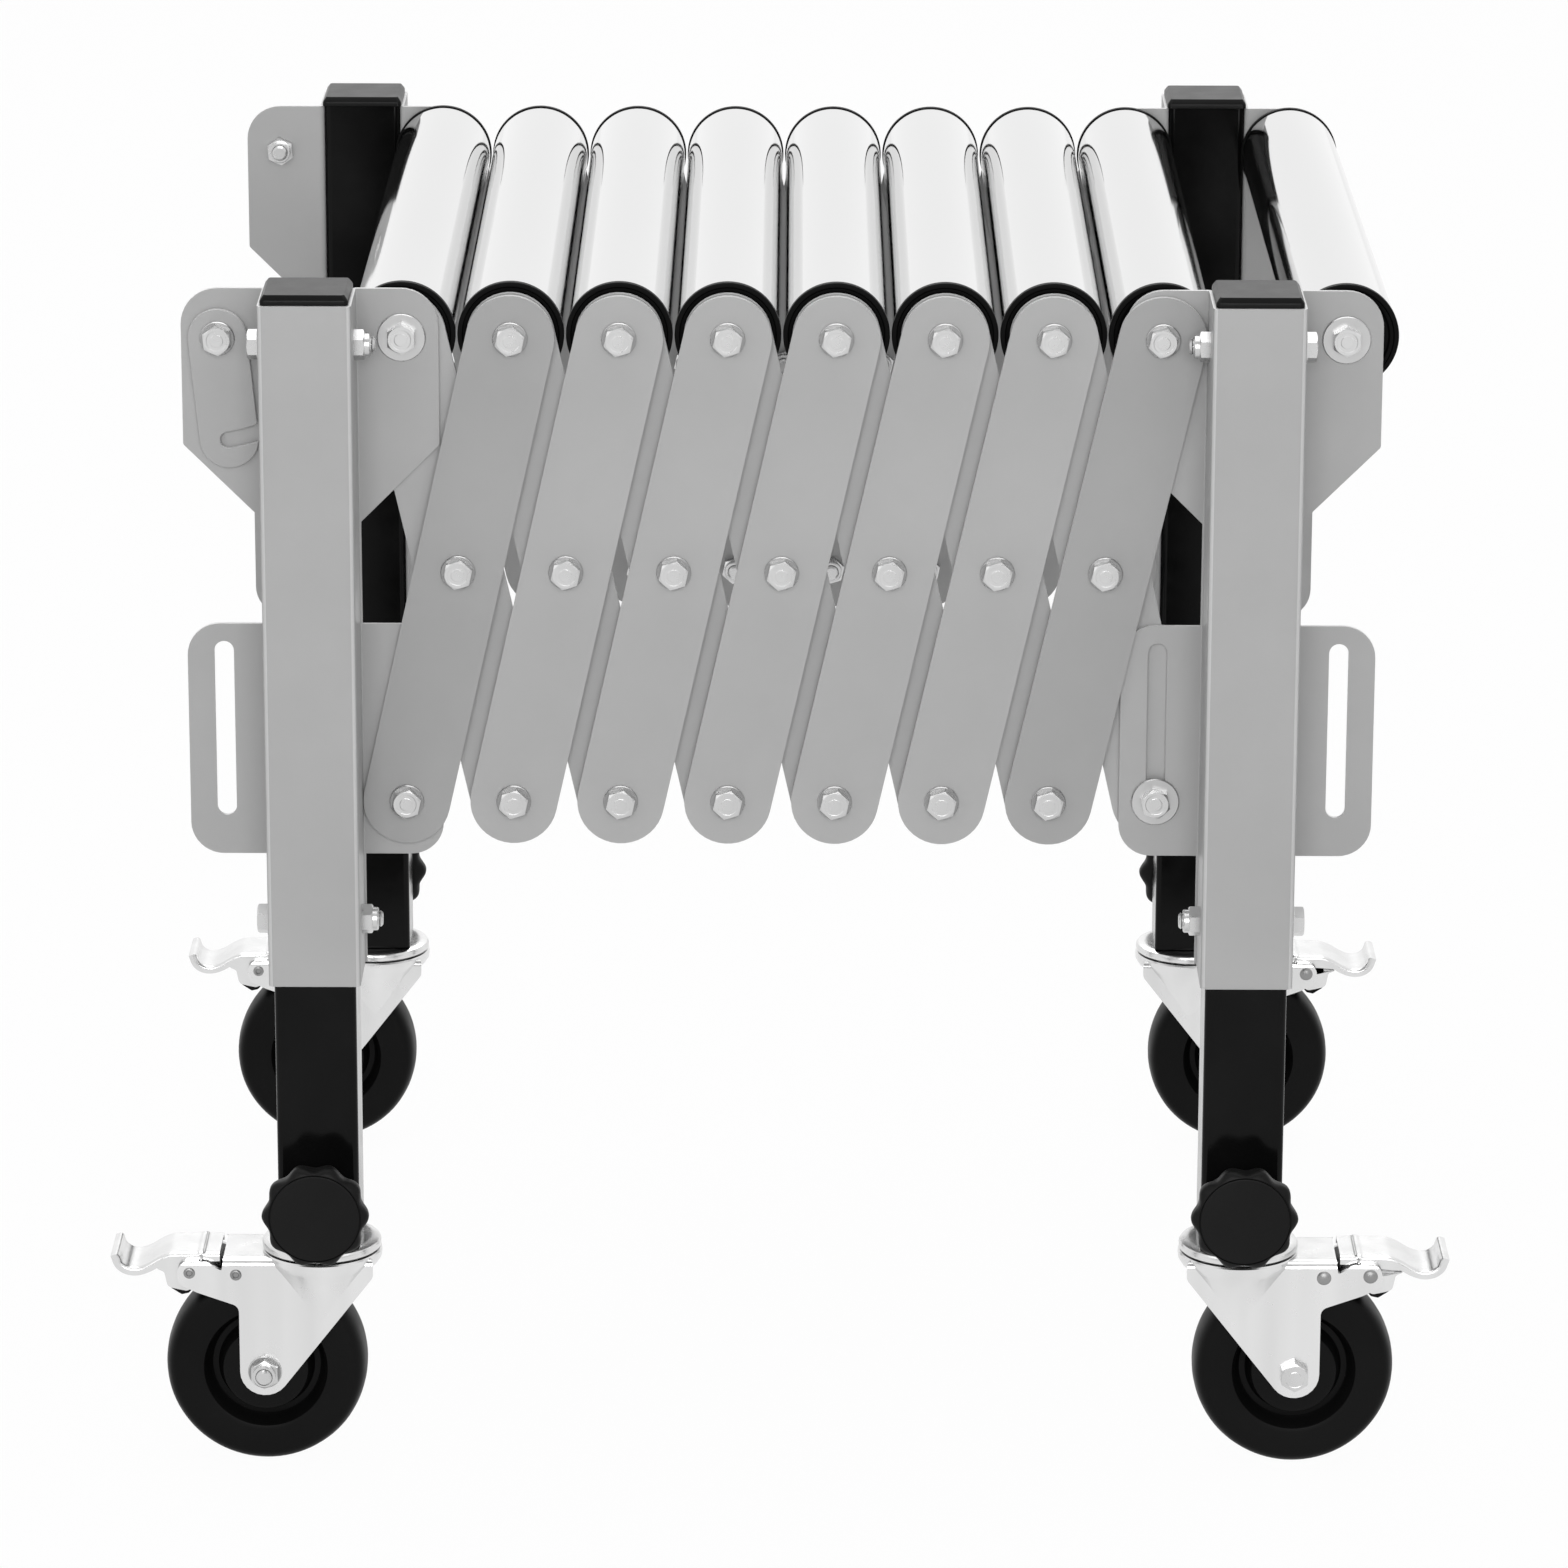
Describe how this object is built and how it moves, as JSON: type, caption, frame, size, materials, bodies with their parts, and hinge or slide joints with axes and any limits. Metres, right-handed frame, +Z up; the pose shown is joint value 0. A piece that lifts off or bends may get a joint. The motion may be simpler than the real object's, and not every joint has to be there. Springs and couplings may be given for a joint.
{
  "type": "folding roller conveyor",
  "caption": "Folding gravity roller conveyor: chromed rollers on a steel scissor frame, square telescopic legs with clamp knobs, and braked swivel casters.",
  "frame": {"origin": "on the floor under the middle of the folded conveyor", "axes": "+X along the conveyor from its hook plates to its other end, +Y from the near side to the far side, +Z up"},
  "size_m": [0.6634, 0.5836, 0.597],
  "materials": {
    "bracket_paint": "satin silver-grey paint on pressed steel",
    "arm_paint": "satin silver-grey paint on flat steel",
    "leg_black": "gloss black powder coat",
    "roller_chrome": "polished chrome, black plastic rings at the ends",
    "zinc": "bright zinc plating",
    "wheel_black": "satin moulded black",
    "knob_black": "satin moulded black"
  },
  "bodies": {
    "left_frame": {"leg_bracket_left_near": "bracket_paint", "leg_tube_left_near": "leg_black", "leg_bracket_left_far": "bracket_paint", "leg_tube_left_far": "leg_black"},
    "right_frame": {"leg_bracket_right_near": "bracket_paint", "leg_tube_right_near": "leg_black", "leg_bracket_right_far": "bracket_paint", "leg_tube_right_far": "leg_black"},
    "inner_pair_1": {"inner_arm_1_near": "arm_paint", "inner_arm_1_far": "arm_paint"},
    "outer_pair_1": {"outer_arms_1": "arm_paint"},
    "inner_pair_2": {"inner_arm_2_near": "arm_paint", "inner_arm_2_far": "arm_paint"},
    "outer_pair_2": {"outer_arms_2": "arm_paint"},
    "inner_pair_3": {"inner_arm_3_near": "arm_paint", "inner_arm_3_far": "arm_paint"},
    "outer_pair_3": {"outer_arms_3": "arm_paint"},
    "inner_pair_4": {"inner_arm_4_near": "arm_paint", "inner_arm_4_far": "arm_paint"},
    "outer_pair_4": {"outer_arms_4": "arm_paint"},
    "inner_pair_5": {"inner_arm_5_near": "arm_paint", "inner_arm_5_far": "arm_paint"},
    "outer_pair_5": {"outer_arms_5": "arm_paint"},
    "inner_pair_6": {"inner_arm_6_near": "arm_paint", "inner_arm_6_far": "arm_paint"},
    "outer_pair_6": {"outer_arms_6": "arm_paint"},
    "inner_pair_7": {"inner_arm_7_near": "arm_paint", "inner_arm_7_far": "arm_paint"},
    "outer_pair_7": {"outer_arms_7": "arm_paint"},
    "roller_0": {"roller_0": "roller_chrome"},
    "roller_1": {"roller_1": "roller_chrome"},
    "roller_2": {"roller_2": "roller_chrome"},
    "roller_3": {"roller_3": "roller_chrome"},
    "roller_4": {"roller_4": "roller_chrome"},
    "roller_5": {"roller_5": "roller_chrome"},
    "roller_6": {"roller_6": "roller_chrome"},
    "roller_7": {"roller_7": "roller_chrome"},
    "roller_8": {"roller_8": "roller_chrome"},
    "leg_slide_left_near": {"leg_slide_left_near": "leg_black"},
    "caster_fork_left_near": {"caster_fork_left_near": "zinc"},
    "caster_wheel_left_near": {"caster_wheel_left_near": "wheel_black"},
    "brake_pedal_left_near": {"brake_pedal_left_near": "zinc"},
    "clamp_knob_left_near": {"clamp_knob_left_near": "knob_black"},
    "leg_slide_left_far": {"leg_slide_left_far": "leg_black"},
    "caster_fork_left_far": {"caster_fork_left_far": "zinc"},
    "caster_wheel_left_far": {"caster_wheel_left_far": "wheel_black"},
    "brake_pedal_left_far": {"brake_pedal_left_far": "zinc"},
    "clamp_knob_left_far": {"clamp_knob_left_far": "knob_black"},
    "leg_slide_right_near": {"leg_slide_right_near": "leg_black"},
    "caster_fork_right_near": {"caster_fork_right_near": "zinc"},
    "caster_wheel_right_near": {"caster_wheel_right_near": "wheel_black"},
    "brake_pedal_right_near": {"brake_pedal_right_near": "zinc"},
    "clamp_knob_right_near": {"clamp_knob_right_near": "knob_black"},
    "leg_slide_right_far": {"leg_slide_right_far": "leg_black"},
    "caster_fork_right_far": {"caster_fork_right_far": "zinc"},
    "caster_wheel_right_far": {"caster_wheel_right_far": "wheel_black"},
    "brake_pedal_right_far": {"brake_pedal_right_far": "zinc"},
    "clamp_knob_right_far": {"clamp_knob_right_far": "knob_black"},
    "hook_plate_near": {"hook_plate_near": "bracket_paint"},
    "hook_plate_far": {"hook_plate_far": "bracket_paint"}
  },
  "joints": [
    {"name": "stretch", "type": "hinge", "parent": "left_frame", "child": "inner_pair_1", "pos_m": [-0.1834, 0, 0.568], "axis": [0, -1, 0], "range_deg": [0, 35]},
    {"name": "cross_pivot_1", "type": "hinge", "parent": "inner_pair_1", "child": "outer_pair_1", "pos_m": [-0.1572, 0, 0.45192], "axis": [0, 1, 0], "range_deg": [0, 70]},
    {"name": "top_pivot_1", "type": "hinge", "parent": "outer_pair_1", "child": "inner_pair_2", "pos_m": [-0.131, 0, 0.568], "axis": [0, -1, 0], "range_deg": [0, 70]},
    {"name": "cross_pivot_2", "type": "hinge", "parent": "inner_pair_2", "child": "outer_pair_2", "pos_m": [-0.1048, 0, 0.45192], "axis": [0, 1, 0], "range_deg": [0, 70]},
    {"name": "top_pivot_2", "type": "hinge", "parent": "outer_pair_2", "child": "inner_pair_3", "pos_m": [-0.0786, 0, 0.568], "axis": [0, -1, 0], "range_deg": [0, 70]},
    {"name": "cross_pivot_3", "type": "hinge", "parent": "inner_pair_3", "child": "outer_pair_3", "pos_m": [-0.0524, 0, 0.45192], "axis": [0, 1, 0], "range_deg": [0, 70]},
    {"name": "top_pivot_3", "type": "hinge", "parent": "outer_pair_3", "child": "inner_pair_4", "pos_m": [-0.0262, 0, 0.568], "axis": [0, -1, 0], "range_deg": [0, 70]},
    {"name": "cross_pivot_4", "type": "hinge", "parent": "inner_pair_4", "child": "outer_pair_4", "pos_m": [0, 0, 0.45192], "axis": [0, 1, 0], "range_deg": [0, 70]},
    {"name": "top_pivot_4", "type": "hinge", "parent": "outer_pair_4", "child": "inner_pair_5", "pos_m": [0.0262, 0, 0.568], "axis": [0, -1, 0], "range_deg": [0, 70]},
    {"name": "cross_pivot_5", "type": "hinge", "parent": "inner_pair_5", "child": "outer_pair_5", "pos_m": [0.0524, 0, 0.45192], "axis": [0, 1, 0], "range_deg": [0, 70]},
    {"name": "top_pivot_5", "type": "hinge", "parent": "outer_pair_5", "child": "inner_pair_6", "pos_m": [0.0786, 0, 0.568], "axis": [0, -1, 0], "range_deg": [0, 70]},
    {"name": "cross_pivot_6", "type": "hinge", "parent": "inner_pair_6", "child": "outer_pair_6", "pos_m": [0.1048, 0, 0.45192], "axis": [0, 1, 0], "range_deg": [0, 70]},
    {"name": "top_pivot_6", "type": "hinge", "parent": "outer_pair_6", "child": "inner_pair_7", "pos_m": [0.131, 0, 0.568], "axis": [0, -1, 0], "range_deg": [0, 70]},
    {"name": "cross_pivot_7", "type": "hinge", "parent": "inner_pair_7", "child": "outer_pair_7", "pos_m": [0.1572, 0, 0.45192], "axis": [0, 1, 0], "range_deg": [0, 70]},
    {"name": "top_pivot_7", "type": "hinge", "parent": "outer_pair_7", "child": "right_frame", "pos_m": [0.1834, 0, 0.568], "axis": [0, -1, 0], "range_deg": [0, 35]},
    {"name": "roller_0_spin", "type": "hinge", "parent": "left_frame", "child": "roller_0", "pos_m": [-0.1834, 0, 0.568], "axis": [0, 1, 0], "continuous": true},
    {"name": "roller_1_spin", "type": "hinge", "parent": "outer_pair_1", "child": "roller_1", "pos_m": [-0.131, 0, 0.568], "axis": [0, 1, 0], "continuous": true},
    {"name": "roller_2_spin", "type": "hinge", "parent": "outer_pair_2", "child": "roller_2", "pos_m": [-0.0786, 0, 0.568], "axis": [0, 1, 0], "continuous": true},
    {"name": "roller_3_spin", "type": "hinge", "parent": "outer_pair_3", "child": "roller_3", "pos_m": [-0.0262, 0, 0.568], "axis": [0, 1, 0], "continuous": true},
    {"name": "roller_4_spin", "type": "hinge", "parent": "outer_pair_4", "child": "roller_4", "pos_m": [0.0262, 0, 0.568], "axis": [0, 1, 0], "continuous": true},
    {"name": "roller_5_spin", "type": "hinge", "parent": "outer_pair_5", "child": "roller_5", "pos_m": [0.0786, 0, 0.568], "axis": [0, 1, 0], "continuous": true},
    {"name": "roller_6_spin", "type": "hinge", "parent": "outer_pair_6", "child": "roller_6", "pos_m": [0.131, 0, 0.568], "axis": [0, 1, 0], "continuous": true},
    {"name": "roller_7_spin", "type": "hinge", "parent": "outer_pair_7", "child": "roller_7", "pos_m": [0.1834, 0, 0.568], "axis": [0, 1, 0], "continuous": true},
    {"name": "roller_8_spin", "type": "hinge", "parent": "right_frame", "child": "roller_8", "pos_m": [0.2718, 0, 0.568], "axis": [0, 1, 0], "continuous": true},
    {"name": "leg_height_left_near", "type": "slide", "parent": "left_frame", "child": "leg_slide_left_near", "axis": [0, 0, -1], "range_m": [0, 0.11]},
    {"name": "swivel_left_near", "type": "hinge", "parent": "leg_slide_left_near", "child": "caster_fork_left_near", "pos_m": [-0.2276, -0.2415, 0.107], "axis": [0, 0, 1], "continuous": true},
    {"name": "wheel_spin_left_near", "type": "hinge", "parent": "caster_fork_left_near", "child": "caster_wheel_left_near", "pos_m": [-0.2556, -0.2415, 0.05], "axis": [0, 1, 0], "continuous": true},
    {"name": "brake_left_near", "type": "hinge", "parent": "caster_fork_left_near", "child": "brake_pedal_left_near", "pos_m": [-0.2922, -0.2415, 0.102], "axis": [0, 1, 0], "range_deg": [0, 12]},
    {"name": "clamp_left_near", "type": "hinge", "parent": "left_frame", "child": "clamp_knob_left_near", "pos_m": [-0.2276, -0.2415, 0.1415], "axis": [0, 1, 0], "range_deg": [0, 360]},
    {"name": "leg_height_left_far", "type": "slide", "parent": "left_frame", "child": "leg_slide_left_far", "axis": [0, 0, -1], "range_m": [0, 0.11]},
    {"name": "swivel_left_far", "type": "hinge", "parent": "leg_slide_left_far", "child": "caster_fork_left_far", "pos_m": [-0.2276, 0.2415, 0.107], "axis": [0, 0, 1], "continuous": true},
    {"name": "wheel_spin_left_far", "type": "hinge", "parent": "caster_fork_left_far", "child": "caster_wheel_left_far", "pos_m": [-0.2556, 0.2415, 0.05], "axis": [0, 1, 0], "continuous": true},
    {"name": "brake_left_far", "type": "hinge", "parent": "caster_fork_left_far", "child": "brake_pedal_left_far", "pos_m": [-0.2922, 0.2415, 0.102], "axis": [0, 1, 0], "range_deg": [0, 12]},
    {"name": "clamp_left_far", "type": "hinge", "parent": "left_frame", "child": "clamp_knob_left_far", "pos_m": [-0.2276, 0.2415, 0.1415], "axis": [0, 1, 0], "range_deg": [0, 360]},
    {"name": "leg_height_right_near", "type": "slide", "parent": "right_frame", "child": "leg_slide_right_near", "axis": [0, 0, -1], "range_m": [0, 0.11]},
    {"name": "swivel_right_near", "type": "hinge", "parent": "leg_slide_right_near", "child": "caster_fork_right_near", "pos_m": [0.2276, -0.2415, 0.107], "axis": [0, 0, 1], "continuous": true},
    {"name": "wheel_spin_right_near", "type": "hinge", "parent": "caster_fork_right_near", "child": "caster_wheel_right_near", "pos_m": [0.2556, -0.2415, 0.05], "axis": [0, 1, 0], "continuous": true},
    {"name": "brake_right_near", "type": "hinge", "parent": "caster_fork_right_near", "child": "brake_pedal_right_near", "pos_m": [0.2922, -0.2415, 0.102], "axis": [0, -1, 0], "range_deg": [0, 12]},
    {"name": "clamp_right_near", "type": "hinge", "parent": "right_frame", "child": "clamp_knob_right_near", "pos_m": [0.2276, -0.2415, 0.1415], "axis": [0, 1, 0], "range_deg": [0, 360]},
    {"name": "leg_height_right_far", "type": "slide", "parent": "right_frame", "child": "leg_slide_right_far", "axis": [0, 0, -1], "range_m": [0, 0.11]},
    {"name": "swivel_right_far", "type": "hinge", "parent": "leg_slide_right_far", "child": "caster_fork_right_far", "pos_m": [0.2276, 0.2415, 0.107], "axis": [0, 0, 1], "continuous": true},
    {"name": "wheel_spin_right_far", "type": "hinge", "parent": "caster_fork_right_far", "child": "caster_wheel_right_far", "pos_m": [0.2556, 0.2415, 0.05], "axis": [0, 1, 0], "continuous": true},
    {"name": "brake_right_far", "type": "hinge", "parent": "caster_fork_right_far", "child": "brake_pedal_right_far", "pos_m": [0.2922, 0.2415, 0.102], "axis": [0, -1, 0], "range_deg": [0, 12]},
    {"name": "clamp_right_far", "type": "hinge", "parent": "right_frame", "child": "clamp_knob_right_far", "pos_m": [0.2276, 0.2415, 0.1415], "axis": [0, 1, 0], "range_deg": [0, 360]},
    {"name": "hook_near", "type": "hinge", "parent": "left_frame", "child": "hook_plate_near", "pos_m": [-0.2718, -0.2257, 0.568], "axis": [0, 1, 0], "range_deg": [0, 110]},
    {"name": "hook_far", "type": "hinge", "parent": "left_frame", "child": "hook_plate_far", "pos_m": [-0.2718, 0.2257, 0.568], "axis": [0, 1, 0], "range_deg": [0, 110]}
  ],
  "couplings": [
    {"joint": "cross_pivot_1", "follows": "stretch", "ratio": 2},
    {"joint": "top_pivot_1", "follows": "stretch", "ratio": 2},
    {"joint": "cross_pivot_2", "follows": "stretch", "ratio": 2},
    {"joint": "top_pivot_2", "follows": "stretch", "ratio": 2},
    {"joint": "cross_pivot_3", "follows": "stretch", "ratio": 2},
    {"joint": "top_pivot_3", "follows": "stretch", "ratio": 2},
    {"joint": "cross_pivot_4", "follows": "stretch", "ratio": 2},
    {"joint": "top_pivot_4", "follows": "stretch", "ratio": 2},
    {"joint": "cross_pivot_5", "follows": "stretch", "ratio": 2},
    {"joint": "top_pivot_5", "follows": "stretch", "ratio": 2},
    {"joint": "cross_pivot_6", "follows": "stretch", "ratio": 2},
    {"joint": "top_pivot_6", "follows": "stretch", "ratio": 2},
    {"joint": "cross_pivot_7", "follows": "stretch", "ratio": 2},
    {"joint": "top_pivot_7", "follows": "stretch", "ratio": 1}
  ]
}
